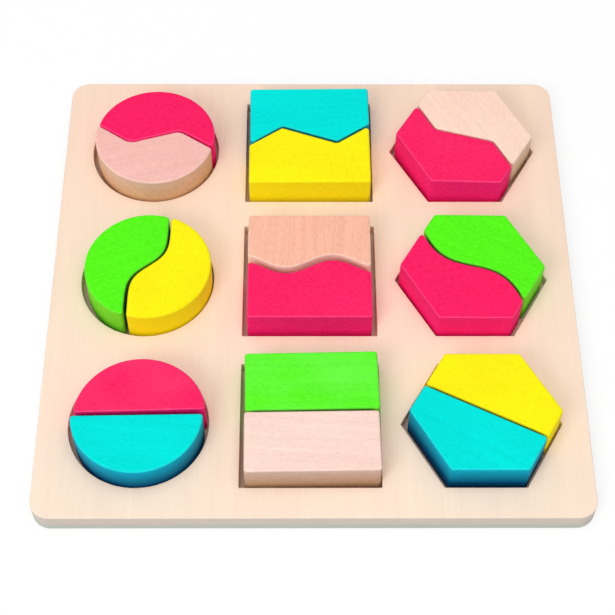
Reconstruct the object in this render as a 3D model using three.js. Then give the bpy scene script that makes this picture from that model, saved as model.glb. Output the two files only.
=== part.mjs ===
// Wooden shape board: two glued layers with nine recesses, each holding a block cut into two loose halves.
// Millimetres, +Z up. The origin is under the middle of the board, +X is its hexagon side, +Y its back.
import * as THREE from 'three';

// Blocks
const BLOCK_SPAN = 53.6; // circle diameter, square side, hexagon width across its flats
const BLOCK_THICKNESS = 18;
const SAW_KERF = 0.7; // wood lost between the two halves of a block
const EDGE_ROUND = 1; // sanded round of a block's top and bottom edges
const TOP_CORNER = 0.4; // round of the corners of a block's flat top

// Recess grid
const RECESS_CLEARANCE = 1.8; // room round a block in its recess
const COLUMN_BRIDGE = 12.8; // wood left between two recesses of one span, side by side
const ROW_BRIDGE = 13.8; // wood left between two recesses, one behind the other
const LEFT_MARGIN = 12.6; // wood left between the outer recesses and the board's four edges
const RIGHT_MARGIN = 10.8;
const FRONT_MARGIN = 13.4;
const BACK_MARGIN = 12.4;

// Board layers
const BASE_THICKNESS = 4;
const PANEL_THICKNESS = 5.5; // also the depth of the recesses
const BOARD_CORNER = 8;
const BOARD_EASE = 0.4; // sanded edge of both layers

// Zigzag splits: the bend right of the block's middle, its round on the flat top, the outer runs' slope
const CIRCLE_BEND_X = 11;
const CIRCLE_BEND_Y = 3.5;
const CIRCLE_BEND_ROUND = 4.5;
const CIRCLE_END_SLOPE = -0.65;
const SQUARE_BEND_X = 12.4;
const SQUARE_BEND_Y = -4.5;
const SQUARE_BEND_ROUND = 0.6;
const SQUARE_END_SLOPE = 0.68;
const HEXAGON_BEND_X = 12.9;
const HEXAGON_BEND_Y = -3.2;
const HEXAGON_BEND_ROUND = 2.5;
const HEXAGON_END_SLOPE = -1.75;

// Curved and straight splits
const WAVE_LENGTH = 40;
const WAVE_HEIGHT = 3.3;
const CIRCLE_S_THROW = 8.6; // how far the S stands off to either side at its ends
const CIRCLE_S_EASE = 6.5; // length over which it swings across
const HEXAGON_S_SPREAD = 6.6; // how fast the S runs out sideways
const HEXAGON_S_WAIST = 1.6; // length of its flat middle run
const DIAGONAL_SLOPE = -0.5;
const WAVE_BACK_TRIM = 1.9; // wood lost beside the saw kerf on the wave's two halves
const WAVE_FRONT_TRIM = 0.3;
const LEVEL_BACK_TRIM = 4.1; // and on the front circle's two halves
const LEVEL_FRONT_TRIM = 0.7;

// Fineness of the curves
const HEXAGON_SIDES = 6;
const CIRCLE_STEPS = 48;
const BOARD_CORNER_STEPS = 6;
const FILLET_STEPS = 3;
const SPLIT_STEPS = 49;
const EDGE_ROUND_STEPS = 2;
const BOARD_EASE_STEPS = 1;
const FREE_RUN_SHARE = 0.9; // most of a run that one corner's round may take up
const SHARED_RUN_SHARE = FREE_RUN_SHARE / 2;

// Places worked out from the sizes above
const SPLIT_REACH = BLOCK_SPAN; // how far splits run past their block's middle, to end well outside it
const TOP_INSET = EDGE_ROUND + SAW_KERF / 2; // from the middle of the saw cut to the edge of a flat top
const CORNER_ROUND = TOP_CORNER + TOP_INSET;
const CORNER_ROOM = 2 * CORNER_ROUND;
const RECESS_SPAN = BLOCK_SPAN + 2 * RECESS_CLEARANCE;
const COLUMN_PITCH = RECESS_SPAN + COLUMN_BRIDGE;
const ROW_PITCH = RECESS_SPAN + ROW_BRIDGE;
const COLUMNS_WIDTH = RECESS_SPAN / 2 + 2 * COLUMN_PITCH + hexagonReach(RECESS_SPAN);
const BOARD_WIDTH = LEFT_MARGIN + COLUMNS_WIDTH + RIGHT_MARGIN;
const BOARD_DEPTH = FRONT_MARGIN + RECESS_SPAN + 2 * ROW_PITCH + BACK_MARGIN;
const CIRCLE_COLUMN_X = -BOARD_WIDTH / 2 + LEFT_MARGIN + RECESS_SPAN / 2;
const FRONT_ROW_Y = -BOARD_DEPTH / 2 + FRONT_MARGIN + RECESS_SPAN / 2;
const COLUMN_X = {
  circle: CIRCLE_COLUMN_X,
  square: CIRCLE_COLUMN_X + COLUMN_PITCH,
  hexagon: CIRCLE_COLUMN_X + 2 * COLUMN_PITCH,
};
const ROW_Y = {
  front: FRONT_ROW_Y,
  middle: FRONT_ROW_Y + ROW_PITCH,
  back: FRONT_ROW_Y + 2 * ROW_PITCH,
};

const PLYWOOD = { color: 0xfbe6cd, roughness: 0.62, metalness: 0 };
const FINISHES = {
  natural: { color: 0xf8d2bd, roughness: 0.6, metalness: 0 },
  red: { color: 0xf32a62, roughness: 0.42, metalness: 0 },
  turquoise: { color: 0x0fd6d2, roughness: 0.42, metalness: 0 },
  yellow: { color: 0xfdea1e, roughness: 0.42, metalness: 0 },
  green: { color: 0x5ae62a, roughness: 0.42, metalness: 0 },
};

// A named mesh with a material of its own.
function piece(name, geometry, finish) {
  const mesh = new THREE.Mesh(geometry, new THREE.MeshStandardMaterial(finish));
  mesh.name = name;
  return mesh;
}

// Points on an arc about a centre, both ends included; angles in radians.
function arcPoints(x, y, radius, from, to, steps) {
  const arc = new THREE.ArcCurve(x, y, radius, from, to, false);
  return arc.getPoints(steps);
}

// From a hexagon's middle to its corners, for a width across its flats.
function hexagonReach(span) {
  return span / Math.sqrt(3);
}

// Outlines of the three shapes, counterclockwise round the origin.
function circleOutline(span) {
  return arcPoints(0, 0, span / 2, 0, 2 * Math.PI, CIRCLE_STEPS).slice(0, -1);
}

function squareOutline(span) {
  const side = span / 2;
  const corners = [[side, -side], [side, side], [-side, side], [-side, -side]];
  return corners.map(([x, y]) => new THREE.Vector2(x, y));
}

function hexagonOutline(span) {
  return arcPoints(0, 0, hexagonReach(span), 0, 2 * Math.PI, HEXAGON_SIDES).slice(0, -1);
}

const OUTLINES = { circle: circleOutline, square: squareOutline, hexagon: hexagonOutline };
const MIDDLE = new THREE.Vector2();

// A block's outline before half a kerf is taken off all round both halves, for the room left round the
// block as a share of the clearance.
function cutOutline(shape, room) {
  return OUTLINES[shape](RECESS_SPAN - 2 * room * RECESS_CLEARANCE + SAW_KERF);
}

// A point where a split or an outline turns; round is the radius that softens the turn.
function turn(x, y, round = 0) {
  return Object.assign(new THREE.Vector2(x, y), { round });
}

// Splits run from left to right, or from front to back, through the middle of their block. Their two ends lie
// outside its outline, and the turns between them inside it.
function straightSplit(slope) {
  return [-SPLIT_REACH, SPLIT_REACH].map((x) => turn(x, x * slope));
}

function zigzagSplit(bendX, bendY, bendRound, endSlope) {
  const endX = bendX + SPLIT_REACH;
  const endY = bendY + SPLIT_REACH * endSlope;
  const round = bendRound + TOP_INSET;
  return [turn(-endX, -endY), turn(-bendX, -bendY, round), turn(bendX, bendY, round), turn(endX, endY)];
}

// A split that follows a formula, with an odd number of steps so that none of its points is the middle one,
// which would lie straight between its neighbours.
function curvedSplit(outline, pointAt) {
  const points = [];
  for (let step = 0; step <= SPLIT_STEPS; step += 1) {
    const { x, y } = pointAt(SPLIT_REACH * ((2 * step) / SPLIT_STEPS - 1));
    points.push(turn(x, y));
  }
  const first = points.findIndex((point) => isInside(point, outline));
  const last = points.findLastIndex((point) => isInside(point, outline));
  return points.slice(first - 1, last + 2);
}

function waveSplit(outline) {
  const height = (x) => WAVE_HEIGHT * Math.sin((2 * Math.PI * x) / WAVE_LENGTH);
  return curvedSplit(outline, (x) => ({ x, y: height(x) }));
}

function circleSSplit(outline) {
  const sideways = (y) => CIRCLE_S_THROW * Math.tanh(y / CIRCLE_S_EASE);
  return curvedSplit(outline, (y) => ({ x: sideways(y), y }));
}

function hexagonSSplit(outline) {
  const sideways = (along) => HEXAGON_S_SPREAD * Math.asinh(along / HEXAGON_S_WAIST);
  return curvedSplit(outline, (along) => ({ x: sideways(along), y: -along }));
}

// The arc that softens one corner of a closed run. It takes up less than half of a run that ends in another
// corner, and less than the whole of one that doesn't.
function cornerArc(before, corner, after) {
  const inward = before.clone().sub(corner);
  const outward = after.clone().sub(corner);
  const halfTurn = (Math.PI - Math.abs(inward.angleTo(outward))) / 2;
  const roomBefore = (before.round ? SHARED_RUN_SHARE : FREE_RUN_SHARE) * inward.length();
  const roomAfter = (after.round ? SHARED_RUN_SHARE : FREE_RUN_SHARE) * outward.length();
  const reach = Math.min(corner.round * Math.tan(halfTurn), roomBefore, roomAfter);
  const radius = reach / Math.tan(halfTurn);
  const start = inward.clone().setLength(reach);
  const end = outward.clone().setLength(reach);
  const middle = start.clone().add(end).setLength(Math.hypot(reach, radius));
  const from = start.sub(middle).angle();
  const to = end.sub(middle).angle();
  const centre = corner.clone().add(middle);
  const turnsRight = inward.cross(outward) > 0;
  return new THREE.ArcCurve(centre.x, centre.y, radius, from, to, turnsRight).getPoints(FILLET_STEPS);
}

function roundCorners(points) {
  return points.flatMap((corner, index) => {
    const before = points.at(index - 1);
    const after = points[(index + 1) % points.length];
    return corner.round ? cornerArc(before, corner, after) : [corner];
  });
}

// How far inside each side of a convex outline a point lies, times that side's length.
function sideDepths(point, outline) {
  return outline.map((corner, index) => {
    const side = outline[(index + 1) % outline.length].clone().sub(corner);
    return side.cross(point.clone().sub(corner));
  });
}

function isInside(point, outline) {
  return sideDepths(point, outline).every((depth) => depth > 0);
}

// Where the run from a point inside the outline to one outside it crosses the outline.
function rimCrossing(inside, outside, outline) {
  const depthsOutside = sideDepths(outside, outline);
  const shares = sideDepths(inside, outline).map((depth, side) => {
    const crosses = depthsOutside[side] < 0;
    return crosses ? depth / (depth - depthsOutside[side]) : 1;
  });
  const { x, y } = inside.clone().lerp(outside, Math.min(...shares));
  return turn(x, y, CORNER_ROUND);
}

function angleOf(point) {
  return THREE.MathUtils.euclideanModulo(Math.atan2(point.y, point.x), 2 * Math.PI);
}

// The outline counterclockwise from one point on it to another, without the two ends.
function rimBetween(shape, outline, from, to) {
  const start = angleOf(from);
  const sweep = THREE.MathUtils.euclideanModulo(angleOf(to) - start, 2 * Math.PI);
  if (shape === 'circle') {
    const steps = Math.round((CIRCLE_STEPS * sweep) / (2 * Math.PI));
    const radius = outline[0].length();
    return arcPoints(0, 0, radius, start, start + sweep, steps).slice(1, -1).map(({ x, y }) => turn(x, y));
  }
  const passed = (corner) => THREE.MathUtils.euclideanModulo(angleOf(corner) - start, 2 * Math.PI);
  return outline
    .filter((corner) => passed(corner) < sweep)
    .sort((one, other) => passed(one) - passed(other))
    .map(({ x, y }) => turn(x, y, CORNER_ROUND));
}

// Outline of the half to the left of a split, walked along the split and back round the rim. Points of a
// curve that are too near its ends make room for the rounded corners there.
function halfOutline(shape, outline, split) {
  const turns = split.slice(1, -1);
  const start = rimCrossing(turns.at(0) ?? MIDDLE, split.at(0), outline);
  const end = rimCrossing(turns.at(-1) ?? MIDDLE, split.at(-1), outline);
  const leavesRoom = (point) => Math.min(point.distanceTo(start), point.distanceTo(end)) > CORNER_ROOM;
  const keep = (point) => point.round > 0 || leavesRoom(point);
  const alongRim = rimBetween(shape, outline, end, start);
  return roundCorners([start, ...turns.filter(keep), end, ...alongRim.filter(keep)]);
}

// A prism whose top and bottom edges are rounded; outset moves its sides out from the outline.
function roundedPrism(outline, thickness, round, roundSteps, outset) {
  const geometry = new THREE.ExtrudeGeometry(outline, {
    depth: thickness - 2 * round,
    bevelThickness: round,
    bevelSize: round,
    bevelOffset: outset - round,
    bevelSegments: roundSteps,
  });
  return geometry.translate(0, 0, round);
}

function halfBlock(name, finish, shape, outline, split) {
  const half = new THREE.Shape(halfOutline(shape, outline, split));
  const geometry = roundedPrism(half, BLOCK_THICKNESS, EDGE_ROUND, EDGE_ROUND_STEPS, -SAW_KERF / 2);
  return piece(name, geometry, finish);
}

// A split with wood taken off the half behind it.
function trimmed(split, trim) {
  return split.map(({ x, y, round }) => turn(x, y + trim, round));
}

// Both halves of a block, lying in its recess as they were put down. A half's lie is what it is moved by to
// the right and to the back, and how far its rim is turned, as shares of the clearance.
function blockPair({ row, shape, split, colours, lies, room = 1, trims = [0, 0] }) {
  const outline = cutOutline(shape, room);
  const path = split(outline);
  const [backTrim, frontTrim] = trims;
  const paths = [trimmed(path, backTrim), trimmed(path, -frontTrim).reverse()];
  return colours.map((colour, side) => {
    const [right, back, turned] = lies[side].map((share) => share * RECESS_CLEARANCE);
    const name = `${row}_${shape}_${colour}_half`;
    const half = halfBlock(name, FINISHES[colour], shape, outline, paths[side]);
    half.position.set(COLUMN_X[shape] + right, ROW_Y[row] + back, BASE_THICKNESS);
    half.rotation.z = turned / (BLOCK_SPAN / 2);
    return half;
  });
}

function boardOutline() {
  const right = BOARD_WIDTH / 2 - BOARD_CORNER;
  const back = BOARD_DEPTH / 2 - BOARD_CORNER;
  const centres = [[right, back], [-right, back], [-right, -back], [right, -back]];
  const corners = centres.flatMap(([x, y], quarter) => {
    const from = (quarter * Math.PI) / 2;
    return arcPoints(x, y, BOARD_CORNER, from, from + Math.PI / 2, BOARD_CORNER_STEPS);
  });
  return new THREE.Shape(corners);
}

function basePanel() {
  const geometry = roundedPrism(boardOutline(), BASE_THICKNESS, BOARD_EASE, BOARD_EASE_STEPS, 0);
  return piece('base_panel', geometry, PLYWOOD);
}

function recessPanel() {
  const outline = boardOutline();
  for (const [shape, x] of Object.entries(COLUMN_X)) {
    for (const y of Object.values(ROW_Y)) {
      const rim = OUTLINES[shape](RECESS_SPAN).map((point) => point.add(new THREE.Vector2(x, y)));
      outline.holes.push(new THREE.Path(rim));
    }
  }
  const geometry = roundedPrism(outline, PANEL_THICKNESS, BOARD_EASE, BOARD_EASE_STEPS, 0);
  const mesh = piece('recess_panel', geometry, PLYWOOD);
  mesh.position.z = BASE_THICKNESS;
  return mesh;
}

// The nine blocks; the half to the left of the split comes first.
const PAIRS = [
  {
    row: 'back',
    shape: 'circle',
    split: () => zigzagSplit(CIRCLE_BEND_X, CIRCLE_BEND_Y, CIRCLE_BEND_ROUND, CIRCLE_END_SLOPE),
    colours: ['red', 'natural'],
    lies: [[0.33, -0.62, 0], [0.22, -0.56, -0.23]],
  },
  {
    row: 'back',
    shape: 'square',
    split: () => zigzagSplit(SQUARE_BEND_X, SQUARE_BEND_Y, SQUARE_BEND_ROUND, SQUARE_END_SLOPE),
    colours: ['turquoise', 'yellow'],
    lies: [[0.26, 0.12, 0.16], [0.12, 0, 0.08]],
    room: 0.83,
  },
  {
    row: 'back',
    shape: 'hexagon',
    split: () => zigzagSplit(HEXAGON_BEND_X, HEXAGON_BEND_Y, HEXAGON_BEND_ROUND, HEXAGON_END_SLOPE),
    colours: ['natural', 'red'],
    lies: [[0.1, -0.1, -0.4], [0.14, -0.06, -0.44]],
  },
  {
    row: 'middle',
    shape: 'circle',
    split: circleSSplit,
    colours: ['green', 'yellow'],
    lies: [[0.42, -0.44, 0], [0.62, -0.36, 0.2]],
  },
  {
    row: 'middle',
    shape: 'square',
    split: waveSplit,
    colours: ['natural', 'red'],
    lies: [[-0.06, -0.4, 0], [-0.03, -0.34, 0]],
    room: 1.22,
    trims: [WAVE_BACK_TRIM, WAVE_FRONT_TRIM],
  },
  {
    row: 'middle',
    shape: 'hexagon',
    split: hexagonSSplit,
    colours: ['green', 'red'],
    lies: [[-0.16, -0.44, -0.2], [-0.28, -0.36, -0.1]],
  },
  {
    row: 'front',
    shape: 'circle',
    split: () => straightSplit(0),
    colours: ['red', 'turquoise'],
    lies: [[0.8, -1.6, 0.43], [0.17, -0.8, 0.24]],
    trims: [LEVEL_BACK_TRIM, LEVEL_FRONT_TRIM],
  },
  {
    row: 'front',
    shape: 'square',
    split: () => straightSplit(0),
    colours: ['green', 'natural'],
    lies: [[0.5, -0.16, 0.3], [0.28, -0.12, 0.22]],
    room: 0.75,
  },
  {
    row: 'front',
    shape: 'hexagon',
    split: () => straightSplit(DIAGONAL_SLOPE),
    colours: ['yellow', 'turquoise'],
    lies: [[0.4, -0.28, 0], [0.33, -0.17, 0]],
  },
];

const shapeBoard = new THREE.Group();
shapeBoard.add(basePanel(), recessPanel(), ...PAIRS.flatMap(blockPair));

export default shapeBoard;
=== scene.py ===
import cmath
import math
from typing import NamedTuple

import bpy
from bpy.props import FloatProperty, FloatVectorProperty, PointerProperty
from bpy.types import Operator, Panel, PropertyGroup
from mathutils import Matrix, Vector


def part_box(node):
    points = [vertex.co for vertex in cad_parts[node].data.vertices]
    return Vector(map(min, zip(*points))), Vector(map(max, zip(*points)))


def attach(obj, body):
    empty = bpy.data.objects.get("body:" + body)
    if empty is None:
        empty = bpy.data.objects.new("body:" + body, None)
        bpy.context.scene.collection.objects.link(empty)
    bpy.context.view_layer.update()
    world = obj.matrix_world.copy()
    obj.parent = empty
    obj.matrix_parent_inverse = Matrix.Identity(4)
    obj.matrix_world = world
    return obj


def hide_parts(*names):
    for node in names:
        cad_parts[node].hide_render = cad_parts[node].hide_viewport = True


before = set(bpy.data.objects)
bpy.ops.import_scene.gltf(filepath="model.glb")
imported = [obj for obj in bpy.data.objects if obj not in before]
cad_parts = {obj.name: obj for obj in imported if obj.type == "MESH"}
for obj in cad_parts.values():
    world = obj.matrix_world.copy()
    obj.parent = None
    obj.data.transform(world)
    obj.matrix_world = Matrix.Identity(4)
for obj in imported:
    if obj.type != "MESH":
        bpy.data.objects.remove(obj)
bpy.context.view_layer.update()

bl_info = {
    "name": "Shape Board",
    "version": (1, 0, 0),
    "blender": (4, 5, 0),
    "location": "View3D > Sidebar > Shape Board",
    "description": "Builds a wooden shape board with its split blocks, and a stage to show it on",
    "category": "Add Mesh",
}

BASE_LOW, BASE_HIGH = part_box("base_panel")
PANEL_LOW, PANEL_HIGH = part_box("recess_panel")
BLOCK_LOW, BLOCK_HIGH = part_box("front_square_green_half")
MM = 0.001
QUARTER_TURN = math.pi / 2
HEXAGON_SIDES = 6

# Fineness of the curves
CIRCLE_STEPS = 160
BOARD_CORNER_STEPS = 16
FILLET_STEPS = 8
SPLIT_STEPS = 159  # odd, so that no point is the middle one, which lies straight between its neighbours
BLOCK_ROUND_STEPS = 8
BOARD_EASE_STEPS = 4

# Limits of the meshes
FREE_RUN_SHARE = 0.9  # most of a run that one corner's round may take up
SHARED_RUN_SHARE = FREE_RUN_SHARE / 2
WELD_DISTANCE = 1e-6
CREASE_ANGLE = math.radians(30)
OPEN_RIM = 1.5  # an edge with fewer faces than this has one, and lies on an open rim


# Settings


def length(name, description, default):
    return FloatProperty(name=name, description=description, default=default, unit="LENGTH", precision=5)


def share(name, description, default):
    return FloatProperty(name=name, description=description, default=default, precision=3)


def angle(name, description, default):
    return FloatProperty(name=name, description=description, default=math.radians(default), subtype="ANGLE")


def colour(name, description, default):
    return FloatVectorProperty(
        name=name, description=description, default=default, size=3, subtype="COLOR", min=0, max=1
    )


class ShapeBoardBlocks(PropertyGroup):
    """Sizes of the blocks."""

    span: length("Span", "Circle diameter, hexagon width across flats, nearly a square's side", 53.6 * MM)
    thickness: length("Thickness", "Height of a block", BLOCK_HIGH.z - BLOCK_LOW.z)
    saw_kerf: length("Saw kerf", "Wood lost between the two halves of a block", 0.7 * MM)
    edge_round: length("Edge round", "Sanded round of a block's top and bottom edges", 1.0 * MM)
    top_corner: length("Top corner", "Round of the corners of a block's flat top", 0.4 * MM)


class ShapeBoardLayers(PropertyGroup):
    """Sizes of the two layers and of the recesses in the upper one."""

    width: length("Width", "Board from left to right", BASE_HIGH.x - BASE_LOW.x)
    depth: length("Depth", "Board from front to back", BASE_HIGH.y - BASE_LOW.y)
    base_thickness: length("Base thickness", "Lower layer", BASE_HIGH.z - BASE_LOW.z)
    panel_thickness: length("Panel thickness", "Upper layer", PANEL_HIGH.z - PANEL_LOW.z)
    corner: length("Corner", "Round of the board's four corners", 8 * MM)
    ease: length("Ease", "Sanded edge of both layers", 0.4 * MM)
    recess_corner: length("Recess corner", "Round of the corners of the recesses", 0.3 * MM)
    clearance: length("Clearance", "Room round a block in its recess", 1.8 * MM)
    left_margin: length("Left margin", "Wood left of the circles", 12.6 * MM)
    front_margin: length("Front margin", "Wood in front of the front row", 13.4 * MM)
    column_bridge: length("Column bridge", "Wood between two recesses side by side", 12.8 * MM)
    row_bridge: length("Row bridge", "Wood between two recesses, one behind the other", 13.8 * MM)


class ShapeBoardSplits(PropertyGroup):
    """Runs of the saw cuts through the blocks."""

    circle_bend_x: length("Circle bend, right", "Bend of the circle's zigzag", 11 * MM)
    circle_bend_y: length("Circle bend, back", "Bend of the circle's zigzag", 3.5 * MM)
    circle_bend_round: length("Circle bend round", "Round of the bend on the flat top", 4.5 * MM)
    circle_end_slope: share("Circle end slope", "Slope of the zigzag's outer runs", -0.65)
    square_bend_x: length("Square bend, right", "Bend of the square's zigzag", 12.4 * MM)
    square_bend_y: length("Square bend, back", "Bend of the square's zigzag", -4.5 * MM)
    square_bend_round: length("Square bend round", "Round of the bend on the flat top", 0.6 * MM)
    square_end_slope: share("Square end slope", "Slope of the zigzag's outer runs", 0.68)
    hexagon_bend_x: length("Hexagon bend, right", "Bend of the hexagon's zigzag", 12.9 * MM)
    hexagon_bend_y: length("Hexagon bend, back", "Bend of the hexagon's zigzag", -3.2 * MM)
    hexagon_bend_round: length("Hexagon bend round", "Round of the bend on the flat top", 2.5 * MM)
    hexagon_end_slope: share("Hexagon end slope", "Slope of the zigzag's outer runs", -1.75)
    wave_length: length("Wave length", "Length of the square's wave", 40 * MM)
    wave_height: length("Wave height", "Height of the square's wave", 3.3 * MM)
    circle_s_throw: length("Circle S throw", "How far the S stands off to either side", 8.6 * MM)
    circle_s_ease: length("Circle S ease", "Length over which the S swings across", 6.5 * MM)
    hexagon_s_spread: length("Hexagon S spread", "How fast the S runs out sideways", 6.6 * MM)
    hexagon_s_waist: length("Hexagon S waist", "Length of the S's flat middle run", 1.6 * MM)
    diagonal_slope: share("Diagonal slope", "Slope of the front hexagon's cut", -0.5)
    wave_back_trim: length("Wave trim, back", "Wood lost beside the kerf on its back half", 1.9 * MM)
    wave_front_trim: length("Wave trim, front", "Wood lost beside the kerf on its front half", 0.3 * MM)
    level_back_trim: length("Circle trim, back", "Wood lost beside the kerf on its back half", 4.1 * MM)
    level_front_trim: length("Circle trim, front", "Wood lost beside the kerf on its front half", 0.7 * MM)


class ShapeBoardFinishes(PropertyGroup):
    """Colours of the wood and of the stains: on the tops and on the sides, and painted shade at the foot of
    the sides.
    """

    plywood_top: colour("Plywood top", "Sanded face of the board", (0.95, 0.762, 0.614))
    panel_side: colour("Panel side", "Cut edges of the upper layer", (0.70, 0.60, 0.525))
    base_side: colour("Base side", "Cut edges of the lower layer", (0.565, 0.59, 0.525))
    recess_wall: colour("Recess wall", "Sawn walls of the recesses", (0.92, 0.72, 0.57))
    # painted shade: the lower layer's face, which shows only in the recesses' narrow gaps, is darkened
    shaded_recess_floor: colour("Recess floor", "Unsanded face of the lower layer", (0.7, 0.53, 0.42))
    rosy_top: colour("Rosy wood top", "Bare beech of a rosy tone", (0.91, 0.51, 0.457))
    rosy_side: colour("Rosy wood side", "Sides of a rosy block", (0.78, 0.50, 0.39))
    # painted shade: each colour at the foot of a block's sides darkens the sides towards their underside
    rosy_shaded_foot: colour("Rosy wood foot", "Foot of the sides of a rosy block", (0.75, 0.42, 0.22))
    tan_top: colour("Tan wood top", "Bare beech of a tan tone", (0.945, 0.50, 0.352))
    # painted light: the tan sides are lighter than the tan top, so that the split wall in the square's wave
    # gap looks lit
    tan_side: colour("Tan wood side", "Sides of a tan block", (0.98, 0.80, 0.66))
    tan_shaded_foot: colour("Tan wood foot", "Foot of the sides of a tan block", (0.82, 0.50, 0.30))
    pale_top: colour("Pale wood top", "Bare beech of a pale tone", (0.96, 0.70, 0.605))
    pale_side: colour("Pale wood side", "Sides of a pale block", (0.68, 0.47, 0.395))
    pale_shaded_foot: colour("Pale wood foot", "Foot of the sides of a pale block", (0.49, 0.275, 0.14))
    cream_top: colour("Cream wood top", "Bare beech of a cream tone", (0.98, 0.715, 0.575))
    cream_side: colour("Cream wood side", "Sides of a cream block", (0.82, 0.61, 0.48))
    cream_shaded_foot: colour("Cream wood foot", "Foot of the sides of a cream block", (0.66, 0.45, 0.29))
    red_top: colour("Red top", "Red stain", (0.965, 0.0078, 0.122))
    red_side: colour("Red side", "Red stain on the sides", (0.97, 0.010, 0.175))
    red_shaded_foot: colour("Red foot", "Red stain at the foot of the sides", (0.97, 0.008, 0.185))
    turquoise_top: colour("Turquoise top", "Turquoise stain", (0.0, 0.80, 0.735))
    turquoise_side: colour("Turquoise side", "Turquoise stain on the sides", (0.0, 0.43, 0.62))
    turquoise_shaded_foot: colour("Turquoise foot", "Turquoise stain at the foot of the sides", (0.0, 0.065, 0.17))
    yellow_top: colour("Yellow top", "Yellow stain", (0.975, 0.90, 0.0045))
    yellow_side: colour("Yellow side", "Yellow stain on the sides", (0.99, 0.84, 0.005))
    yellow_shaded_foot: colour("Yellow foot", "Yellow stain at the foot of the sides", (0.99, 0.84, 0.006))
    green_top: colour("Green top", "Green stain", (0.088, 0.955, 0.0))
    green_side: colour("Green side", "Green stain on the sides", (0.18, 0.81, 0.015))
    green_shaded_foot: colour("Green foot", "Green stain at the foot of the sides", (0.16, 0.65, 0.013))


class ShapeBoardStage(PropertyGroup):
    """Floor, light and camera."""

    floor_size: length("Floor size", "Side of the pale floor", 6.0)
    top_power: FloatProperty(name="Top lamp", description="Large lamp overhead", default=11.6, unit="POWER")
    front_power: FloatProperty(name="Front lamp", description="Lamp at the front", default=12.4, unit="POWER")
    ambient: share("Ambient", "Light of the surroundings", 0.45)
    camera_place: FloatVectorProperty(
        name="Camera place",
        description="Where the camera stands",
        default=(-6.2 * MM, -364.2 * MM, 550.3 * MM),
        subtype="TRANSLATION",
        unit="LENGTH",
    )
    camera_elevation: angle("Camera elevation", "How far the camera looks down", 57.06)
    camera_yaw: angle("Camera yaw", "How far the camera looks to the right", 0.65)
    camera_roll: angle("Camera roll", "How far the camera leans to the left", 0.53)
    lens: FloatProperty(name="Lens", description="Focal length", default=88.03, unit="CAMERA")


class ShapeBoardSettings(PropertyGroup):
    """All settings of the shape board."""

    blocks: PointerProperty(type=ShapeBoardBlocks)
    layers: PointerProperty(type=ShapeBoardLayers)
    splits: PointerProperty(type=ShapeBoardSplits)
    finishes: PointerProperty(type=ShapeBoardFinishes)
    stage: PointerProperty(type=ShapeBoardStage)


# Outlines, counterclockwise round the origin, as complex numbers


class Turn(NamedTuple):
    """A point where a split or an outline turns; round is the radius that softens the turn."""

    at: complex
    round: float = 0.0


def cross(one, other):
    return (one.conjugate() * other).imag


def hexagon_reach(span):
    return span / math.sqrt(3)


def circle_outline(span):
    return [cmath.rect(span / 2, math.tau * step / CIRCLE_STEPS) for step in range(CIRCLE_STEPS)]


def square_outline(span):
    side = span / 2
    return [complex(side, -side), complex(side, side), complex(-side, side), complex(-side, -side)]


def hexagon_outline(span):
    reach = hexagon_reach(span)
    return [cmath.rect(reach, math.tau * corner / HEXAGON_SIDES) for corner in range(HEXAGON_SIDES)]


OUTLINES = {"circle": circle_outline, "square": square_outline, "hexagon": hexagon_outline}


def neighbours(points):
    """Each point with the ones before and after it on its closed run."""
    return zip(points[-1:] + points[:-1], points, points[1:] + points[:1])


def side_depths(point, outline):
    """How far inside each side of a convex outline a point lies, times that side's length."""
    return [cross(after - corner, point - corner) for _, corner, after in neighbours(outline)]


def is_inside(point, outline):
    return min(side_depths(point, outline)) > 0


def rim_crossing(inside, outside, outline):
    """Where the run from a point inside the outline to one outside it crosses the outline."""
    depths = zip(side_depths(inside, outline), side_depths(outside, outline))
    shares = [within / (within - beyond) for within, beyond in depths if beyond < 0]
    return inside + (outside - inside) * min(shares)


def corner_arc(before, corner, after):
    """The arc that softens one corner of a closed run. It takes up less than half of a run that ends in
    another corner, and less than the whole of one that doesn't."""
    inward = before.at - corner.at
    outward = after.at - corner.at
    half_turn = (math.pi - abs(cmath.phase(outward / inward))) / 2
    room_before = (SHARED_RUN_SHARE if before.round else FREE_RUN_SHARE) * abs(inward)
    room_after = (SHARED_RUN_SHARE if after.round else FREE_RUN_SHARE) * abs(outward)
    reach = min(corner.round * math.tan(half_turn), room_before, room_after)
    radius = reach / math.tan(half_turn)
    start = inward / abs(inward) * reach
    end = outward / abs(outward) * reach
    middle = (start + end) / abs(start + end) * math.hypot(reach, radius)
    sweep = cmath.phase((end - middle) / (start - middle))
    turns = [cmath.rect(1, sweep * step / FILLET_STEPS) for step in range(FILLET_STEPS + 1)]
    return [corner.at + middle + (start - middle) * turned for turned in turns]


def round_corners(turns):
    points = []
    for before, corner, after in neighbours(turns):
        points += corner_arc(before, corner, after) if corner.round else [corner.at]
    return points


# Splits run from left to right, or from front to back, through the middle of their block. Their two ends lie
# outside the block, and the turns between them inside it.


def straight_split(blocks, slope):
    end = complex(blocks.span, blocks.span * slope)
    return [Turn(-end), Turn(end)]


def zigzag_split(blocks, splits, shape):
    """A bend of the shape's own on either side of the middle, and two outer runs."""
    values = ("bend_x", "bend_y", "bend_round", "end_slope")
    bend_x, bend_y, bend_round, end_slope = (getattr(splits, f"{shape}_{value}") for value in values)
    bend = complex(bend_x, bend_y)
    end = bend + complex(blocks.span, blocks.span * end_slope)
    softened = bend_round + top_inset(blocks)
    return [Turn(-end), Turn(-bend, softened), Turn(bend, softened), Turn(end)]


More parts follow.
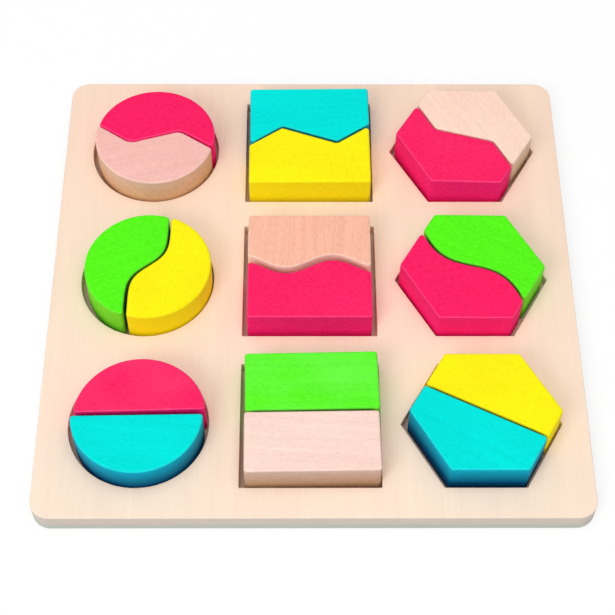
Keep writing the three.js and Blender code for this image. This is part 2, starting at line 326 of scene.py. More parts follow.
def curved_split(blocks, outline, point_at):
    """A split that follows a formula, from one point outside the block to another."""
    places = [blocks.span * (2 * step / SPLIT_STEPS - 1) for step in range(SPLIT_STEPS + 1)]
    points = [point_at(place) for place in places]
    within = [index for index, point in enumerate(points) if is_inside(point, outline)]
    return [Turn(point) for point in points[within[0] - 1 : within[-1] + 2]]


def both_sides(split, back_trim=0.0, front_trim=0.0):
    """The split as each half follows it, with its own half on the left; trims take more wood off a half."""
    behind = [Turn(turn.at + 1j * back_trim, turn.round) for turn in split]
    in_front = [Turn(turn.at - 1j * front_trim, turn.round) for turn in split]
    return behind, in_front[::-1]


def circle_zigzag(blocks, splits, outline):
    return both_sides(zigzag_split(blocks, splits, "circle"))


def square_zigzag(blocks, splits, outline):
    return both_sides(zigzag_split(blocks, splits, "square"))


def hexagon_zigzag(blocks, splits, outline):
    return both_sides(zigzag_split(blocks, splits, "hexagon"))


def circle_s(blocks, splits, outline):
    throw, ease = splits.circle_s_throw, splits.circle_s_ease

    def point_at(y):
        return complex(throw * math.tanh(y / ease), y)

    return both_sides(curved_split(blocks, outline, point_at))


def hexagon_s(blocks, splits, outline):
    spread, waist = splits.hexagon_s_spread, splits.hexagon_s_waist

    def point_at(along):
        return complex(spread * math.asinh(along / waist), -along)

    return both_sides(curved_split(blocks, outline, point_at))


def square_wave(blocks, splits, outline):
    height, period = splits.wave_height, splits.wave_length

    def point_at(x):
        return complex(x, height * math.sin(math.tau * x / period))

    wave = curved_split(blocks, outline, point_at)
    return both_sides(wave, splits.wave_back_trim, splits.wave_front_trim)


def circle_cut(blocks, splits, outline):
    return both_sides(straight_split(blocks, 0), splits.level_back_trim, splits.level_front_trim)


def square_cut(blocks, splits, outline):
    return both_sides(straight_split(blocks, 0))


def hexagon_cut(blocks, splits, outline):
    return both_sides(straight_split(blocks, splits.diagonal_slope))


# Half blocks


def top_inset(blocks):
    """From the middle of the saw cut to the edge of a flat top."""
    return blocks.edge_round + blocks.saw_kerf / 2


def cut_outline(settings, pair):
    """A block's outline before half a kerf is taken off all round both halves."""
    span = recess_span(settings) - 2 * pair.room * settings.layers.clearance
    return OUTLINES[pair.shape](span + settings.blocks.saw_kerf)


def rim_between(shape, outline, start, end, corner_round):
    """The outline counterclockwise from one point on it to another, without the two ends."""
    sweep = cmath.phase(end / start) % math.tau
    if shape == "circle":
        steps = round(CIRCLE_STEPS * sweep / math.tau)
        return [Turn(start * cmath.rect(1, sweep * step / steps)) for step in range(1, steps)]
    passed = {corner: cmath.phase(corner / start) % math.tau for corner in outline}
    met = sorted((corner for corner in outline if passed[corner] < sweep), key=passed.get)
    return [Turn(corner, corner_round) for corner in met]


def half_outline(blocks, shape, outline, split):
    """Outline of the half to the left of a split, walked along the split and back round the rim. Points of a
    curve that are too near its ends make room for the rounded corners there."""
    corner_round = blocks.top_corner + top_inset(blocks)
    turns = split[1:-1]
    innermost = turns or [Turn(0j)]
    start = rim_crossing(innermost[0].at, split[0].at, outline)
    end = rim_crossing(innermost[-1].at, split[-1].at, outline)
    run = turns + [Turn(end, corner_round)] + rim_between(shape, outline, end, start, corner_round)

    def keep(turn):
        return turn.round > 0 or min(abs(turn.at - start), abs(turn.at - end)) > 2 * corner_round

    return round_corners([Turn(start, corner_round)] + [turn for turn in run if keep(turn)])


class Half(NamedTuple):
    """One half of a block. Its lie is what it is moved by to the right and to the back, and how far its rim
    is turned, as shares of the clearance. Its grain runs at an angle in degrees. Its painted sheen is how far
    a painted whitish reflection pales its top."""

    tint: str
    lie: tuple
    grain: float
    painted_sheen: float = 0.0


class BlockPair(NamedTuple):
    """Two halves of one block; the half to the left of the split comes first. Room is what is left round
    the block, as a share of the clearance."""

    row: str
    shape: str
    split: object
    halves: tuple
    room: float = 1.0


PAIRS = [
    BlockPair(
        "back", "circle", circle_zigzag,
        (Half("red", (0.33, -0.62, 0), 8), Half("rosy", (0.22, -0.56, -0.23), 14)),
    ),
    BlockPair(
        "back", "square", square_zigzag,
        (Half("turquoise", (0.26, 0.12, 0.16), 4), Half("yellow", (0.12, 0, 0.08), -3)),
        room=0.83,
    ),
    BlockPair(
        "back", "hexagon", hexagon_zigzag,
        (Half("cream", (0.1, -0.1, -0.4), -62), Half("red", (0.14, -0.06, -0.44), -10, painted_sheen=0.005)),
    ),
    BlockPair(
        "middle", "circle", circle_s,
        (Half("green", (0.42, -0.44, 0), 20), Half("yellow", (0.62, -0.36, 0.2), 70)),
    ),
    BlockPair(
        "middle", "square", square_wave,
        (Half("tan", (-0.06, -0.4, 0), 88), Half("red", (-0.03, -0.34, 0), -2, painted_sheen=0.003)),
        room=1.22,
    ),
    BlockPair(
        "middle", "hexagon", hexagon_s,
        (Half("green", (-0.16, -0.44, -0.2), -30), Half("red", (-0.28, -0.36, -0.1), -35)),
    ),
    BlockPair(
        "front", "circle", circle_cut,
        (Half("red", (0.8, -1.6, 0.43), 2, painted_sheen=0.012), Half("turquoise", (0.17, -0.8, 0.24), -6)),
    ),
    BlockPair(
        "front", "square", square_cut,
        (Half("green", (0.5, -0.16, 0.3), 2, painted_sheen=0.024), Half("pale", (0.28, -0.12, 0.22), -3)),
        room=0.75,
    ),
    BlockPair(
        "front", "hexagon", hexagon_cut,
        (Half("yellow", (0.4, -0.28, 0), -25), Half("turquoise", (0.33, -0.17, 0), -28)),
    ),
]
NATURAL = ("rosy", "tan", "pale", "cream")
ROWS = ("front", "middle", "back")
COLUMNS = ("circle", "square", "hexagon")


def recess_span(settings):
    return settings.blocks.span + 2 * settings.layers.clearance


def recess_centre(settings, row, shape):
    """Middle of a recess, as a complex number in the board's plane."""
    layers = settings.layers
    span = recess_span(settings)
    left = -layers.width / 2 + layers.left_margin + span / 2
    front = -layers.depth / 2 + layers.front_margin + span / 2
    right_steps, back_steps = COLUMNS.index(shape), ROWS.index(row)
    right = left + right_steps * (span + layers.column_bridge)
    back = front + back_steps * (span + layers.row_bridge)
    return complex(right, back)


def corner_middle(layers):
    """Middle of the round of the board's back right corner."""
    return complex(layers.width / 2 - layers.corner, layers.depth / 2 - layers.corner)


# Node building


def add(tree, kind, inputs=None, **values):
    """A new node; inputs maps sockets to values or to the sockets that feed them."""
    node = tree.nodes.new(kind)
    for name, value in values.items():
        setattr(node, name, value)
    for socket, value in (inputs or {}).items():
        if isinstance(value, bpy.types.NodeSocket):
            tree.links.new(value, node.inputs[socket])
        else:
            node.inputs[socket].default_value = value
    return node


def maths(tree, operation, *terms):
    node = add(tree, "ShaderNodeMath", dict(enumerate(terms)), operation=operation)
    return node.outputs[0]


def axes(tree, vector):
    """A vector's X, Y and Z."""
    return add(tree, "ShaderNodeSeparateXYZ", {0: vector}).outputs


def raised(tree, geometry, level):
    upwards = add(tree, "ShaderNodeCombineXYZ", {"Z": level}).outputs[0]
    return add(tree, "GeometryNodeTransform", {"Geometry": geometry, "Translation": upwards}).outputs[0]


# Rounded prism

PRISM = "Rounded prism"


def edge_profile(tree, thickness, edge_round, allowance, steps):
    """Section of a prism's rim: its rounded upper edge, its wall and its rounded lower edge."""
    last = maths(tree, "ADD", maths(tree, "MULTIPLY", steps, 2), 1)
    count = maths(tree, "ADD", last, 1)
    line = add(tree, "GeometryNodeMeshLine", {"Count": count})
    index = add(tree, "GeometryNodeInputIndex").outputs[0]
    from_face = maths(tree, "MINIMUM", index, maths(tree, "SUBTRACT", last, index))
    turned = maths(tree, "MULTIPLY", maths(tree, "DIVIDE", from_face, steps), QUARTER_TURN)
    out = maths(tree, "MULTIPLY", edge_round, maths(tree, "SUBTRACT", maths(tree, "SINE", turned), 1))
    across = maths(tree, "SUBTRACT", out, allowance)
    drop = maths(tree, "MULTIPLY", edge_round, maths(tree, "SUBTRACT", 1, maths(tree, "COSINE", turned)))
    lower = maths(tree, "GREATER_THAN", index, steps)
    upper_level = maths(tree, "SUBTRACT", thickness, drop)
    level = add(tree, "ShaderNodeMix", {"Factor": lower, "A": upper_level, "B": drop}).outputs["Result"]
    place = add(tree, "ShaderNodeCombineXYZ", {"X": across, "Y": maths(tree, "MULTIPLY", level, -1)})
    section = add(
        tree, "GeometryNodeSetPosition", {"Geometry": line.outputs[0], "Position": place.outputs[0]}
    )
    return add(tree, "GeometryNodeMeshToCurve", {"Mesh": section.outputs[0]}).outputs[0]


def prism_cap(tree, wall, rim, level):
    """Flat face that closes one open rim of the wall."""
    loops = add(tree, "GeometryNodeMeshToCurve", {"Mesh": wall, "Selection": rim})
    face = add(tree, "GeometryNodeFillCurve", {"Curve": loops.outputs[0]})
    placed = raised(tree, face.outputs[0], level)
    flat = add(tree, "GeometryNodeSetShadeSmooth", {"Geometry": placed, "Shade Smooth": False})
    return flat.outputs[0]


def rounded_prism_tree():
    """Raises a prism with rounded edges from the closed outlines of its base mesh."""
    tree = bpy.data.node_groups.new(PRISM, "GeometryNodeTree")
    kinds = {
        "Outlines": "Geometry",
        "Thickness": "Float",
        "Edge round": "Float",
        "Saw allowance": "Float",
        "Round steps": "Int",
        "Lift": "Float",
        "Material": "Material",
    }
    for name, kind in kinds.items():
        tree.interface.new_socket(name, in_out="INPUT", socket_type="NodeSocket" + kind)
    tree.interface.new_socket("Prism", in_out="OUTPUT", socket_type="NodeSocketGeometry")
    given = add(tree, "NodeGroupInput").outputs
    thickness = given["Thickness"]
    profile = edge_profile(tree, thickness, given["Edge round"], given["Saw allowance"], given["Round steps"])
    path = add(tree, "GeometryNodeMeshToCurve", {"Mesh": given["Outlines"]})
    upright = add(tree, "GeometryNodeSetCurveNormal", {"Curve": path.outputs[0]}, mode="Z_UP")
    swept = add(tree, "GeometryNodeCurveToMesh", {"Curve": upright.outputs[0], "Profile Curve": profile})
    wall = add(tree, "GeometryNodeSetShadeSmooth", {"Geometry": swept.outputs[0], "Shade Smooth": True})
    faces = add(tree, "GeometryNodeInputMeshEdgeNeighbors").outputs[0]
    is_rim = maths(tree, "LESS_THAN", faces, OPEN_RIM)
    height = axes(tree, add(tree, "GeometryNodeInputPosition").outputs[0])["Z"]
    is_upper = maths(tree, "GREATER_THAN", height, maths(tree, "DIVIDE", thickness, 2))
    upper_rim = maths(tree, "MULTIPLY", is_rim, is_upper)
    lower_rim = maths(tree, "SUBTRACT", is_rim, upper_rim)
    top = prism_cap(tree, wall.outputs[0], upper_rim, thickness)
    bottom = add(tree, "GeometryNodeFlipFaces", {0: prism_cap(tree, wall.outputs[0], lower_rim, 0.0)})
    joined = add(tree, "GeometryNodeJoinGeometry")
    for part in (wall.outputs[0], top, bottom.outputs[0]):
        tree.links.new(part, joined.inputs[0])
    welded = add(
        tree, "GeometryNodeMergeByDistance", {"Geometry": joined.outputs[0], "Distance": WELD_DISTANCE}
    )
    bend = add(tree, "GeometryNodeInputMeshEdgeAngle").outputs[0]
    is_crease = maths(tree, "GREATER_THAN", bend, CREASE_ANGLE)
    creased = add(
        tree,
        "GeometryNodeSetShadeSmooth",
        {"Geometry": welded.outputs[0], "Selection": is_crease, "Shade Smooth": False},
        domain="EDGE",
    )
    placed = raised(tree, creased.outputs[0], given["Lift"])
    realised = add(tree, "GeometryNodeRealizeInstances", {0: placed})
    finished = add(
        tree, "GeometryNodeSetMaterial", {"Geometry": realised.outputs[0], "Material": given["Material"]}
    )
    add(tree, "NodeGroupOutput", {0: finished.outputs[0]})
    return tree


def outline_mesh(name, loops):
    """A mesh of closed edge loops in the board's plane."""
    points, edges = [], []
    for loop in loops:
        first = len(points)
        points += [(point.real, point.imag, 0) for point in loop]
        edges += [(first + step, first + (step + 1) % len(loop)) for step in range(len(loop))]
    mesh = bpy.data.meshes.new(name)
    mesh.from_pydata(points, edges, [])
    return mesh


def raise_prism(name, loops, sizes, material):
    """A plain mesh object made by the rounded prism tree; sizes maps the tree's inputs to their values."""
    tree = bpy.data.node_groups.get(PRISM) or rounded_prism_tree()
    outlines = outline_mesh(name + "_outline", loops)
    piece = bpy.data.objects.new(name, outlines)
    bpy.context.scene.collection.objects.link(piece)
    modifier = piece.modifiers.new(PRISM, "NODES")
    modifier.node_group = tree
    identifiers = {item.name: item.identifier for item in tree.interface.items_tree}
    for socket, value in {**sizes, "Material": material}.items():
        modifier[identifiers[socket]] = value
    depsgraph = bpy.context.evaluated_depsgraph_get()
    mesh = bpy.data.meshes.new_from_object(piece.evaluated_get(depsgraph), depsgraph=depsgraph)
    if not mesh.polygons:
        raise RuntimeError(f"{name} came out empty")
    piece.modifiers.remove(modifier)
    mesh.materials.pop(index=0)  # the swept wall's empty slot
    piece.data = mesh
    bpy.data.meshes.remove(outlines)
    mesh.name = name
    return piece


# Values of the finishes

UNIT = (0, 1)
NOISE_SPREAD = (0.3, 0.7)  # where most values of a noise lie
STREAK_SPREAD = (0.34, 0.66)  # where most values of two noises mixed lie
FLECK_SPREAD = (0.62, 0.78)  # only the peaks of a noise are flecks
MIX_A, MIX_B, MIX_RESULT = 6, 7, 2  # colour sockets of a Mix node

# Features of beech and of plywood: length along the grain and width across it, in millimetres
SWAY_SIZE = (26, 14)
FIGURE_SIZE = (70, 2.6)
FIBRE_SIZE = (22, 0.7)
FLECK_SIZE = (2.6, 0.35)
STROKE_SIZE = (2.4, 0.45)
PATCH_SIZE = (34, 18)
PLY_CLOUD_SIZE = (60, 22)
PLY_FIGURE_SIZE = (160, 5)
PLY_FIBRE_SIZE = (30, 0.8)
SWAY_REACH = 7  # how far the figure swings sideways, in millimetres

# Seeds of the patterns
STROKE_SEED = 50  # added to a half block's own
PATCH_SEED = 100
BASE_SEED = 40.0
PANEL_SEED = 41.0

# Ranges of how far a surface faces up, from 0 on a side to 1 on a top
BLOCK_SIDE_TO_TOP = (0.1, 0.92)
# between these two ranges a rounded edge pales: partly rubbed, partly a painted highlight
EDGE_WEAR_AND_HIGHLIGHT_FROM = (0.4, 0.62)
EDGE_WEAR_AND_HIGHLIGHT_TO = (0.78, 0.92)
PLY_SIDE_TO_FACE = (0.2, 0.8)

# Half blocks
FOOT_SHADE_HEIGHT = 6.0  # millimetres above a block's underside, about level with the board's face; from here down the sides keep their full painted shade
SPLIT_TO_RIM = (0.86, 0.97)  # shares of the half span between which a sawn split passes into the rim, and its painted shade fades out
BEECH_FIGURE_SHARE = 0.55  # of the streaks; the fibres make the rest
FLECK_DEPTH = 1.4  # times the contrast of the streaks
STROKE_CONTRAST = 0.07
DEEPER = (0.985, 0.925, 0.93)  # what a patch that soaked deeper keeps of a top's colour
# the white that pale strokes lift the wood to, and that the painted sheen whitens tops to
FIBRE_AND_SHEEN_WHITE = (1.0, 1.0, 1.0)

# Layers
PLIES = 3
GLUE_SPREAD = (0.42, 0.5)  # from a ply's middle, as shares of its thickness
GLUE_TONE = 0.8
PLY_FIGURE_SHARE = 0.5
PLY_CONTRAST = 0.03
CLOUD_CONTRAST = 0.02
BACK_PAINTED_SHADE = (0.985, 0.925, 0.91)  # what the board keeps of its colour at its back, as painted shade


class WoodLook(NamedTuple):
    """How a stain, or bare beech, shows: how far rounded edges pale and to which colour, partly rubbed and
    partly a painted highlight, how far the streaks change the tone, how far strokes pale it, and what a sawn
    split keeps of the sides' colour, as painted shade."""

    wear_and_highlight: float
    contrast: float
    stroke_lift: float
    split_shade: float = 1.0
    worn_and_highlight_colour: tuple = (1.0, 0.86, 0.74)


BARE_BEECH = WoodLook(wear_and_highlight=0.3, contrast=0.065, stroke_lift=0.06)
STAINS = {
    "red": WoodLook(wear_and_highlight=0.1, contrast=0.045, stroke_lift=0.016, worn_and_highlight_colour=(1.0, 0.5, 0.9)),
    "turquoise": WoodLook(wear_and_highlight=0.02, contrast=0.045, stroke_lift=0.001, split_shade=0.5),
    "yellow": WoodLook(wear_and_highlight=0.01, contrast=0.02, stroke_lift=0.006, split_shade=0.4),
    "green": WoodLook(wear_and_highlight=0.03, contrast=0.06, stroke_lift=0.024, split_shade=0.35),
}


class Surface(NamedTuple):
    """Roughness between and on the fibres, depth of the fibres, and index of refraction."""

    roughness: tuple
    fibre_depth: float
    refraction: float


BLOCK_SURFACE = Surface(roughness=(0.45, 0.6), fibre_depth=0.04 * MM, refraction=1.1)
PLY_SURFACE = Surface(roughness=(0.5, 0.65), fibre_depth=0.03 * MM, refraction=1.25)


# Finishes


def new_material(name):
    material = bpy.data.materials.new(name)
    material.use_nodes = True
    tree = material.node_tree
    tree.nodes.clear()
    return material, tree


def mix_colours(tree, factor, one, other, blend="MIX"):
    node = add(tree, "ShaderNodeMix", {"Factor": factor}, data_type="RGBA", blend_type=blend)
    for socket, value in ((node.inputs[MIX_A], one), (node.inputs[MIX_B], other)):
        if isinstance(value, bpy.types.NodeSocket):
            tree.links.new(value, socket)
        else:
            socket.default_value = (*value, 1)
    return node.outputs[MIX_RESULT]


def in_tone(tree, plain, tone):
    """A colour times a number."""
    grey = add(tree, "ShaderNodeCombineColor", {0: tone, 1: tone, 2: tone}).outputs[0]
    return mix_colours(tree, 1.0, plain, grey, "MULTIPLY")


def product(tree, first, *others):
    for other in others:
        first = maths(tree, "MULTIPLY", first, other)
    return first


def map_range(tree, value, spread, target):
    """A value carried over from its own range to another, and held between its ends."""
    (low, high), (new_low, new_high) = spread, target
    node = add(
        tree,
        "ShaderNodeMapRange",
        {"Value": value, "From Min": low, "From Max": high, "To Min": new_low, "To Max": new_high},
    )
    return node.outputs[0]


def noise(tree, vector, size, seed, detail=2.0, roughness=0.5):
    """Noise whose features are that long along the grain and that wide across it."""
    along, across = size
    scale = (1 / along, 1 / across, 1 / across)
    stretched = add(tree, "ShaderNodeMapping", {"Vector": vector, "Scale": scale}).outputs[0]
    node = add(
        tree,
        "ShaderNodeTexNoise",
        {"Vector": stretched, "W": seed, "Scale": 1.0, "Detail": detail, "Roughness": roughness},
        noise_dimensions="4D",
    )
    return node.outputs["Fac"]


def streak_tone(tree, figure, fibres, figure_share, contrast):
    """Tone of the wood's figure and fibres together."""
    broad = maths(tree, "MULTIPLY", figure, figure_share)
    fine = maths(tree, "MULTIPLY", fibres, 1 - figure_share)
    return map_range(tree, maths(tree, "ADD", broad, fine), STREAK_SPREAD, (1 + contrast, 1 - contrast))


def grain_coordinates(tree, centre, turn):
    """Millimetres from a piece's centre, with X along its grain."""
    place = add(tree, "ShaderNodeTexCoord").outputs["Object"]
    node = add(
        tree,
        "ShaderNodeMapping",
        {"Vector": place, "Location": centre, "Rotation": (0, 0, turn), "Scale": (MM, MM, MM)},
        vector_type="TEXTURE",
    )
    return node.outputs[0]


def upward(tree):
    """How far the surface faces up: 1 on a top, 0 on a side."""
    normal = add(tree, "ShaderNodeNewGeometry").outputs["Normal"]
    return axes(tree, normal)["Z"]


def wood_shader(tree, base, fibres, surface):
    """Wood of a base colour, with roughness and relief from its fibres."""
    relief = {"Height": fibres, "Distance": surface.fibre_depth, "Strength": 1.0}
    bump = add(tree, "ShaderNodeBump", relief)
    shader = add(
        tree,
        "ShaderNodeBsdfPrincipled",
        {
            "Base Color": base,
            "Roughness": map_range(tree, fibres, NOISE_SPREAD, surface.roughness),
            "IOR": surface.refraction,
            "Normal": bump.outputs[0],
        },
    )
    add(tree, "ShaderNodeOutputMaterial", {"Surface": shader.outputs[0]})


def block_side(tree, settings, tint, split_shade, place):
    """Sides with painted shade that darkens them towards their foot, and painted shade where the block is
    split.
    """
    blocks, finishes = settings.blocks, settings.finishes
    # painted shade: from the top down to the foot height the sides darken to their shaded foot colour
    to_shaded_foot = map_range(tree, place["Z"], (blocks.thickness / MM, FOOT_SHADE_HEIGHT), UNIT)
    rim = mix_colours(tree, to_shaded_foot, getattr(finishes, tint + "_side"), getattr(finishes, tint + "_shaded_foot"))
    # painted shade in the split: the sides darken towards the block's middle, where the narrow gap between
    # the halves lies
    squares = [maths(tree, "POWER", place[axis], 2) for axis in ("X", "Y")]
    from_centre = maths(tree, "SQRT", maths(tree, "ADD", *squares))
    to_rim = maths(tree, "DIVIDE", from_centre, blocks.span / 2 / MM)
    return in_tone(tree, rim, map_range(tree, to_rim, SPLIT_TO_RIM, (split_shade, 1)))


def block_top(tree, finishes, tint, patches):
    """Tops soaked up the stain in patches."""
    light = getattr(finishes, tint + "_top")
    deep = [value * share_kept for value, share_kept in zip(light, DEEPER)]
    return mix_colours(tree, patches, deep, light)


def block_finish(name, settings, half, centre, seed):
    """Beech with its figure, fibres, short strokes and flecks, stained or bare, and paler along its rounded
    edges, partly rubbed and partly a painted highlight; some tops get a painted sheen."""
    material, tree = new_material(name)
    look = STAINS.get(half.tint, BARE_BEECH)
    underside = settings.layers.base_thickness
    grain = grain_coordinates(tree, (centre.real, centre.imag, underside), math.radians(half.grain))
    sway = maths(tree, "MULTIPLY", noise(tree, grain, SWAY_SIZE, seed), SWAY_REACH)
    sideways = add(tree, "ShaderNodeCombineXYZ", {"Y": sway}).outputs[0]
    bent = add(tree, "ShaderNodeVectorMath", {0: grain, 1: sideways}, operation="ADD").outputs[0]
    figure = noise(tree, bent, FIGURE_SIZE, seed)
    fibres = noise(tree, bent, FIBRE_SIZE, seed, detail=3, roughness=0.6)
    flecks = noise(tree, grain, FLECK_SIZE, seed, detail=1)
    strokes = map_range(tree, noise(tree, bent, STROKE_SIZE, seed + STROKE_SEED), NOISE_SPREAD, UNIT)
    patches = map_range(tree, noise(tree, grain, PATCH_SIZE, seed + PATCH_SEED), NOISE_SPREAD, UNIT)

    facing = upward(tree)
    place = axes(tree, grain)
    side = block_side(tree, settings, half.tint, look.split_shade, place)
    top = block_top(tree, settings.finishes, half.tint, patches)
    side_to_top = map_range(tree, facing, BLOCK_SIDE_TO_TOP, UNIT)
    plain = mix_colours(tree, side_to_top, side, top)
    edge_in = map_range(tree, facing, EDGE_WEAR_AND_HIGHLIGHT_FROM, UNIT)
    edge_out = map_range(tree, facing, EDGE_WEAR_AND_HIGHLIGHT_TO, (1, 0))
    # rounded edges pale towards a lighter colour: partly rubbed edges, partly a painted highlight
    worn_and_highlit = mix_colours(tree, product(tree, edge_in, edge_out, look.wear_and_highlight), plain, look.worn_and_highlight_colour)

    streaks = streak_tone(tree, figure, fibres, BEECH_FIGURE_SHARE, look.contrast)
    fleck_tone = map_range(tree, flecks, FLECK_SPREAD, (1, 1 - FLECK_DEPTH * look.contrast))
    stroke_tone = map_range(tree, strokes, UNIT, (1 - STROKE_CONTRAST, 1 + STROKE_CONTRAST))
    grained = in_tone(tree, worn_and_highlit, product(tree, streaks, fleck_tone, stroke_tone))
    lifted = maths(tree, "MULTIPLY", strokes, look.stroke_lift)
    # painted sheen: a whitish reflection painted in patches onto the tops of some halves
    painted_sheen_share = product(tree, patches, 2 * half.painted_sheen, side_to_top)  # patches are half on average
    base = mix_colours(tree, maths(tree, "ADD", lifted, painted_sheen_share), grained, FIBRE_AND_SHEEN_WHITE)
    wood_shader(tree, base, fibres, BLOCK_SURFACE)
    return material


def ply_finish(name, settings, top, side, low, thickness, seed):
    """Birch plywood: a calm face with faint front-to-back grain, and cut edges with plies and glue lines."""
    material, tree = new_material(name)
    finishes = settings.finishes
    grain = grain_coordinates(tree, (0, 0, low), QUARTER_TURN)
    clouds = noise(tree, grain, PLY_CLOUD_SIZE, seed)
    figure = noise(tree, grain, PLY_FIGURE_SIZE, seed)
    fibres = noise(tree, grain, PLY_FIBRE_SIZE, seed, detail=3, roughness=0.6)
    streaks = streak_tone(tree, figure, fibres, PLY_FIGURE_SHARE, PLY_CONTRAST)
    cloud_tone = map_range(tree, clouds, NOISE_SPREAD, (1 + CLOUD_CONTRAST, 1 - CLOUD_CONTRAST))

    facing = upward(tree)
    side_to_face = map_range(tree, maths(tree, "ABSOLUTE", facing), PLY_SIDE_TO_FACE, UNIT)
    height = axes(tree, grain)["Z"]
    up_the_ply = maths(tree, "FRACT", maths(tree, "MULTIPLY", height, PLIES / (thickness / MM)))
    from_middle = maths(tree, "ABSOLUTE", maths(tree, "SUBTRACT", up_the_ply, 0.5))
    glue_tone = map_range(tree, from_middle, GLUE_SPREAD, (1, GLUE_TONE))
    layer_tone = map_range(tree, side_to_face, UNIT, (glue_tone, 1))

    across = axes(tree, add(tree, "ShaderNodeTexCoord").outputs["Object"])
    outer = corner_middle(settings.layers)
    to_sides = maths(tree, "DIVIDE", maths(tree, "ABSOLUTE", across["X"]), outer.real)
    to_ends = maths(tree, "DIVIDE", maths(tree, "ABSOLUTE", across["Y"]), outer.imag)
    in_recess = maths(tree, "LESS_THAN", maths(tree, "MAXIMUM", to_sides, to_ends), 1)
    cut = mix_colours(tree, in_recess, side, finishes.recess_wall)
    face = mix_colours(tree, maths(tree, "GREATER_THAN", facing, 0), finishes.plywood_top, top)
    plain = mix_colours(tree, side_to_face, cut, face)
    grained = in_tone(tree, plain, product(tree, streaks, cloud_tone, layer_tone))
    # painted shade: the board darkens towards its back
    to_back = map_range(tree, across["Y"], (-outer.imag, outer.imag), UNIT)
    base = mix_colours(tree, to_back, grained, mix_colours(tree, 1.0, grained, BACK_PAINTED_SHADE, "MULTIPLY"))
    wood_shader(tree, base, fibres, PLY_SURFACE)
    return material


# Pieces


def make_blocks(settings, shape):
    """The six halves of one shape."""
    blocks, layers = settings.blocks, settings.layers
    sizes = {
        "Thickness": blocks.thickness,
        "Edge round": blocks.edge_round,
        "Saw allowance": blocks.saw_kerf / 2,
        "Round steps": BLOCK_ROUND_STEPS,
        "Lift": layers.base_thickness,
    }
    for pair in (pair for pair in PAIRS if pair.shape == shape):
        outline = cut_outline(settings, pair)
        paths = pair.split(blocks, settings.splits, outline)
        for side, (half, path) in enumerate(zip(pair.halves, paths)):
            tint = half.tint
            colour_name = "natural" if tint in NATURAL else tint
            body = f"{pair.row}_{shape}_{colour_name}"
            right, back, turned = (layers.clearance * part for part in half.lie)
            centre = recess_centre(settings, pair.row, shape) + complex(right, back)
            spin = cmath.rect(1, turned / (blocks.span / 2))
            loop = [centre + point * spin for point in half_outline(blocks, shape, outline, path)]
            seed = float(PAIRS.index(pair) * 2 + side)
            material = block_finish(body + "_finish", settings, half, centre, seed)
            piece = raise_prism(body + "_block", [loop], sizes, material)
            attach(piece, body)
            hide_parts(body + "_half")


def board_outline(layers):
    centre = corner_middle(layers)
    centres = (centre, -centre.conjugate(), -centre, centre.conjugate())
    points = []
    for quarter, middle in enumerate(centres):
        for step in range(BOARD_CORNER_STEPS + 1):
            turned = (quarter + step / BOARD_CORNER_STEPS) * QUARTER_TURN
            points.append(middle + cmath.rect(layers.corner, turned))
    return points


def recess_outlines(settings):
    """Rims of the nine recesses, clockwise, so that the wood lies to their left."""
    loops = []
    for shape in COLUMNS:
        rim = OUTLINES[shape](recess_span(settings))
        if shape != "circle":
            rim = round_corners([Turn(corner, settings.layers.recess_corner) for corner in rim])
        for row in ROWS:
            centre = recess_centre(settings, row, shape)
            loops.append([centre + point for point in reversed(rim)])
    return loops


def make_layer(settings, name, node, loops, top, side, low, thickness, seed):
    material = ply_finish(name + "_finish", settings, top, side, low, thickness, seed)
    sizes = {
        "Thickness": thickness,
        "Edge round": settings.layers.ease,
        "Saw allowance": 0.0,
        "Round steps": BOARD_EASE_STEPS,
        "Lift": low,
    }
    piece = raise_prism(name, loops, sizes, material)
    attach(piece, "board")
    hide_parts(node)


# Stage

WHITE = (1, 1, 1, 1)
FLOOR_GREY = (0.8, 0.8, 0.8, 1)
FLOOR_GLOW = 1.12  # strength of the white that is seen on the floor
FLOOR_GLOW_SHARE = 0.62  # the rest of what is seen takes light and shadow
TOP_LAMP_PLACE = (0, -0.15, 1.5)
TOP_LAMP_SIZE = 1.6
FRONT_LAMP_PLACE = (-0.9, -1.3, 1.35)
FRONT_LAMP_SIZE = 1.0
LAMP_TARGET = (0, 0, 0)
CLIP_START = 10 * MM


def seen_rays(tree):
    """1 for rays that show the stage itself: to the camera, in a reflection or through glass."""
    rays = add(tree, "ShaderNodeLightPath").outputs
    mirrored = maths(tree, "MAXIMUM", rays["Is Glossy Ray"], rays["Is Transmission Ray"])
    return maths(tree, "MAXIMUM", rays["Is Camera Ray"], mirrored)


def floor_finish():
    """Pale matt floor that reads white where it is lit and keeps the board's shadow."""
    material, tree = new_material("floor_finish")
    matt = add(tree, "ShaderNodeBsdfDiffuse", {"Color": FLOOR_GREY})
    white = add(tree, "ShaderNodeEmission", {"Strength": FLOOR_GLOW})
    glow_share = maths(tree, "MULTIPLY", seen_rays(tree), FLOOR_GLOW_SHARE)
    seen = add(tree, "ShaderNodeMixShader", {0: glow_share, 1: matt.outputs[0], 2: white.outputs[0]})
    add(tree, "ShaderNodeOutputMaterial", {"Surface": seen.outputs[0]})
    return material


def make_world(ambient):
    world = bpy.data.worlds.new("studio")
    bpy.context.scene.world = world
    world.use_nodes = True
    tree = world.node_tree
    tree.nodes.clear()
    strength = map_range(tree, seen_rays(tree), UNIT, (ambient, 1))
    light = add(tree, "ShaderNodeBackground", {"Color": WHITE, "Strength": strength})
    add(tree, "ShaderNodeOutputWorld", {"Surface": light.outputs[0]})


def make_lamp(name, place, size, power):
    lamp = bpy.data.lights.new(name, "AREA")
    lamp.shape = "DISK"
    lamp.size = size
    lamp.energy = power
    holder = bpy.data.objects.new(name, lamp)
    holder.location = place
    aim = Vector(LAMP_TARGET) - Vector(place)
    holder.rotation_euler = aim.to_track_quat("-Z", "Y").to_euler()
    bpy.context.scene.collection.objects.link(holder)


